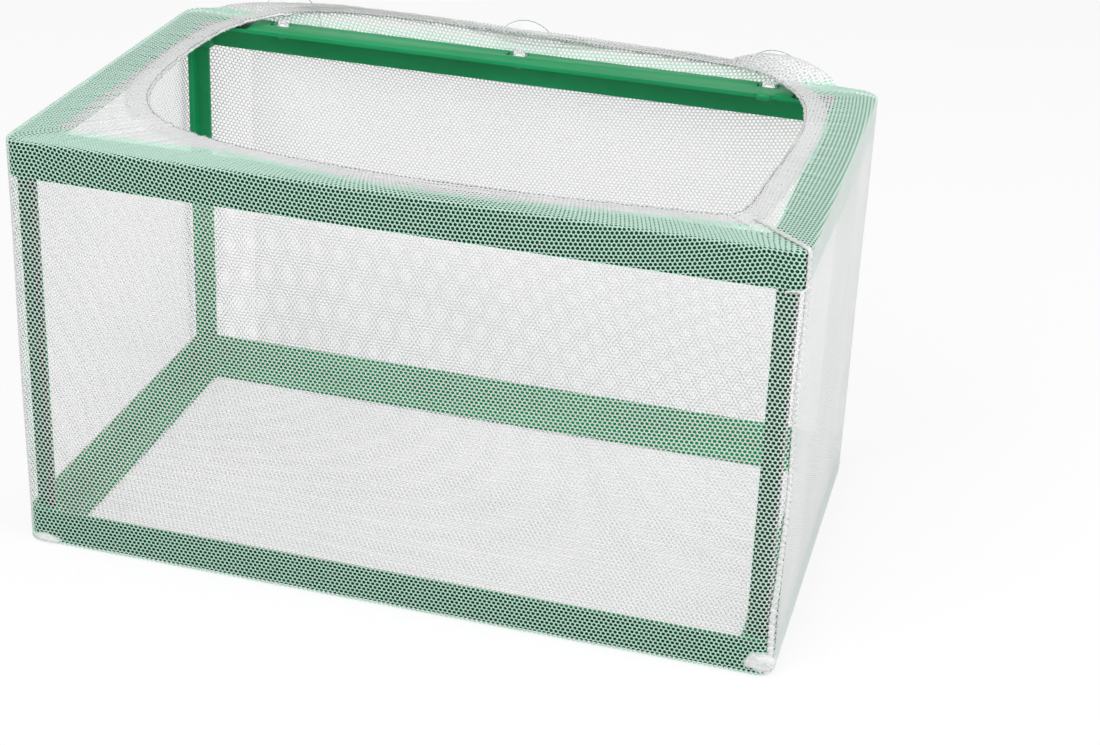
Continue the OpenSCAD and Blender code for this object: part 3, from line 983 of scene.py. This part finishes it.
stage = {
    "floor": 6.0,
    "whiteShare": 0.80,
    "worldLight": 0.54,
    "key": {"place": (-0.3, -0.85, 1.2), "size": 0.9, "power": 10.5},
    "fill": {"place": (1.1, -0.3, 0.6), "size": 0.9, "power": 8.5},
}


def seenDirectly(tree):
    # 1 where the eye, a reflection or a view through glass meets the surface
    path = addNode(tree, "ShaderNodeLightPath")
    either = addNode(tree, "ShaderNodeMath", operation="MAXIMUM")
    seen = addNode(tree, "ShaderNodeMath", operation="MAXIMUM")
    tree.links.new(path.outputs["Is Camera Ray"], either.inputs[0])
    tree.links.new(path.outputs["Is Glossy Ray"], either.inputs[1])
    tree.links.new(either.outputs[0], seen.inputs[0])
    tree.links.new(path.outputs["Is Transmission Ray"], seen.inputs[1])
    return seen.outputs[0]


def makeStage():
    bm = bmesh.new()
    bmesh.ops.create_grid(bm, x_segments=2, y_segments=2, size=stage["floor"])
    floor = bpy.data.objects.new("floor", toMesh(bm, "floor"))
    bpy.context.scene.collection.objects.link(floor)
    floor.location.z = -0.0002
    material = bpy.data.materials.new("paleFloor")
    material.use_nodes = True
    tree = material.node_tree
    tree.nodes.clear()
    out = addNode(tree, "ShaderNodeOutputMaterial")
    plain = addNode(tree, "ShaderNodeBsdfDiffuse", Color=(0.9, 0.9, 0.9, 1))
    white = addNode(tree, "ShaderNodeEmission", Color=(1, 1, 1, 1), Strength=1.0)
    mix = addNode(tree, "ShaderNodeMixShader")
    share = addNode(tree, "ShaderNodeMath", operation="MULTIPLY")
    share.inputs[1].default_value = stage["whiteShare"]
    tree.links.new(seenDirectly(tree), share.inputs[0])
    tree.links.new(share.outputs[0], mix.inputs[0])
    tree.links.new(plain.outputs[0], mix.inputs[1])
    tree.links.new(white.outputs[0], mix.inputs[2])
    tree.links.new(mix.outputs[0], out.inputs["Surface"])
    floor.data.materials.append(material)

    world = bpy.data.worlds.new("studio")
    bpy.context.scene.world = world
    world.use_nodes = True
    tree = world.node_tree
    tree.nodes.clear()
    out = addNode(tree, "ShaderNodeOutputWorld")
    light = addNode(tree, "ShaderNodeBackground", Color=(1, 1, 1, 1), Strength=stage["worldLight"])
    white = addNode(tree, "ShaderNodeBackground", Color=(1, 1, 1, 1), Strength=1.0)
    mix = addNode(tree, "ShaderNodeMixShader")
    tree.links.new(seenDirectly(tree), mix.inputs[0])
    tree.links.new(light.outputs[0], mix.inputs[1])
    tree.links.new(white.outputs[0], mix.inputs[2])
    tree.links.new(mix.outputs[0], out.inputs["Surface"])


def addLamp(name, lamp):
    data = bpy.data.lights.new(name, "AREA")
    data.size = lamp["size"]
    data.energy = lamp["power"]
    obj = bpy.data.objects.new(name, data)
    bpy.context.scene.collection.objects.link(obj)
    obj.location = lamp["place"]
    obj.rotation_euler = (Vector((0, 0, 0.08)) - obj.location).to_track_quat("-Z", "Y").to_euler()


makeStage()
addLamp("keyLamp", stage["key"])
addLamp("fillLamp", stage["fill"])
bpy.context.scene.view_settings.view_transform = "Standard"
print("stage set")
